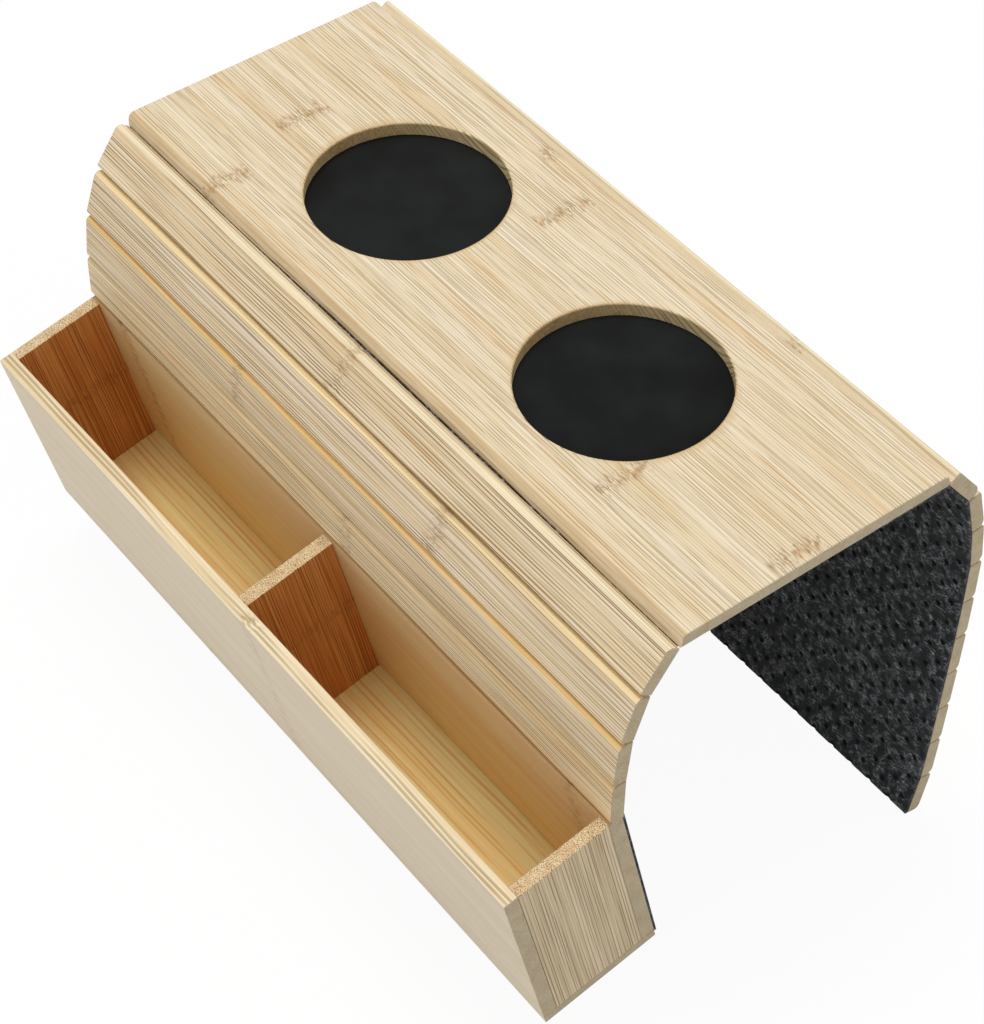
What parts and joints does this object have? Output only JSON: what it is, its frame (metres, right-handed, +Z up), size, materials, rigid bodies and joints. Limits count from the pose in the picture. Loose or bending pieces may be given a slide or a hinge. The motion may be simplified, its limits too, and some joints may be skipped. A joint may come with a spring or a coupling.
{
  "type": "sofa arm tray",
  "caption": "Bamboo tray for a sofa arm, with round cup wells, folding slatted flaps on felt and a hanging divided storage box.",
  "frame": {"origin": "middle of the felt face under the top panel, where the tray rests on the sofa arm", "axes": "+Z up, +Y along the tray from its near end to its far end, -X towards the storage box"},
  "size_m": [0.2245, 0.35, 0.206],
  "materials": {
    "bamboo_top": "fine long grain, clear lacquer",
    "bamboo_slat": "fine long grain, clear lacquer",
    "bamboo_box": "fine grain, clear lacquer",
    "felt": "needle-punched, matte"
  },
  "bodies": {
    "top": {"top_panel": "bamboo_top", "felt_top": "felt"},
    "left_1": {"slat_left_1": "bamboo_slat", "felt_left_1": "felt"},
    "left_2": {"slat_left_2": "bamboo_slat", "felt_left_2": "felt"},
    "left_3": {"slat_left_3": "bamboo_slat", "felt_left_3": "felt"},
    "left_4": {"slat_left_4": "bamboo_slat", "felt_left_4": "felt"},
    "box": {"box_front_wall": "bamboo_box", "box_back_wall": "bamboo_box", "box_end_near": "bamboo_box", "box_end_far": "bamboo_box", "box_floor": "bamboo_box", "box_divider": "bamboo_box", "felt_box": "felt"},
    "right_1": {"slat_right_1": "bamboo_slat", "felt_right_1": "felt"},
    "right_2": {"slat_right_2": "bamboo_slat", "felt_right_2": "felt"},
    "right_3": {"slat_right_3": "bamboo_slat", "felt_right_3": "felt"},
    "right_4": {"slat_right_4": "bamboo_slat", "felt_right_4": "felt"},
    "right_5": {"slat_right_5": "bamboo_slat", "felt_right_5": "felt"},
    "right_6": {"slat_right_6": "bamboo_slat", "felt_right_6": "felt"},
    "right_7": {"slat_right_7": "bamboo_slat", "felt_right_7": "felt"},
    "right_8": {"slat_right_8": "bamboo_slat", "felt_right_8": "felt"},
    "right_9": {"slat_right_9": "bamboo_slat", "felt_right_9": "felt"},
    "right_10": {"slat_right_10": "bamboo_slat", "felt_right_10": "felt"}
  },
  "joints": [
    {"name": "fold_left_1", "type": "hinge", "parent": "top", "child": "left_1", "pos_m": [-0.0622, 0, 0.0015], "axis": [0, 1, 0], "range_deg": [-36.5, 53.5]},
    {"name": "fold_left_2", "type": "hinge", "parent": "left_1", "child": "left_2", "pos_m": [-0.07439, 0, -0.01498], "axis": [0, 1, 0], "range_deg": [-13, 17]},
    {"name": "fold_left_3", "type": "hinge", "parent": "left_2", "child": "left_3", "pos_m": [-0.08124, 0, -0.0343], "axis": [0, 1, 0], "range_deg": [-3, 13]},
    {"name": "fold_left_4", "type": "hinge", "parent": "left_3", "child": "left_4", "pos_m": [-0.08356, 0, -0.05467], "axis": [0, 1, 0], "range_deg": [-11, 5]},
    {"name": "fold_box", "type": "hinge", "parent": "left_4", "child": "box", "pos_m": [-0.08409, 0, -0.07516], "axis": [0, 1, 0], "range_deg": [-2.5, 13.5]},
    {"name": "fold_right_1", "type": "hinge", "parent": "top", "child": "right_1", "pos_m": [0.0622, 0, 0.0015], "axis": [0, 1, 0], "range_deg": [-53, 37]},
    {"name": "fold_right_2", "type": "hinge", "parent": "right_1", "child": "right_2", "pos_m": [0.07454, 0, -0.01487], "axis": [0, 1, 0], "range_deg": [-23.5, 6.5]},
    {"name": "fold_right_3", "type": "hinge", "parent": "right_2", "child": "right_3", "pos_m": [0.07932, 0, -0.03481], "axis": [0, 1, 0], "range_deg": [-7, 9]},
    {"name": "fold_right_4", "type": "hinge", "parent": "right_3", "child": "right_4", "pos_m": [0.08164, 0, -0.05517], "axis": [0, 1, 0], "range_deg": [-8, 8]},
    {"name": "fold_right_5", "type": "hinge", "parent": "right_4", "child": "right_5", "pos_m": [0.08111, 0, -0.07567], "axis": [0, 1, 0], "range_deg": [-1, 15]},
    {"name": "fold_right_6", "type": "hinge", "parent": "right_5", "child": "right_6", "pos_m": [0.08021, 0, -0.09615], "axis": [0, 1, 0], "range_deg": [-1, 15]},
    {"name": "fold_right_7", "type": "hinge", "parent": "right_6", "child": "right_7", "pos_m": [0.07896, 0, -0.11661], "axis": [0, 1, 0], "range_deg": [-0.5, 15.5]},
    {"name": "fold_right_8", "type": "hinge", "parent": "right_7", "child": "right_8", "pos_m": [0.07753, 0, -0.13706], "axis": [0, 1, 0], "range_deg": [-0.5, 15.5]},
    {"name": "fold_right_9", "type": "hinge", "parent": "right_8", "child": "right_9", "pos_m": [0.07592, 0, -0.1575], "axis": [0, 1, 0], "range_deg": [-1, 15]},
    {"name": "fold_right_10", "type": "hinge", "parent": "right_9", "child": "right_10", "pos_m": [0.07396, 0, -0.1779], "axis": [0, 1, 0], "range_deg": [-7.5, 8.5]}
  ]
}
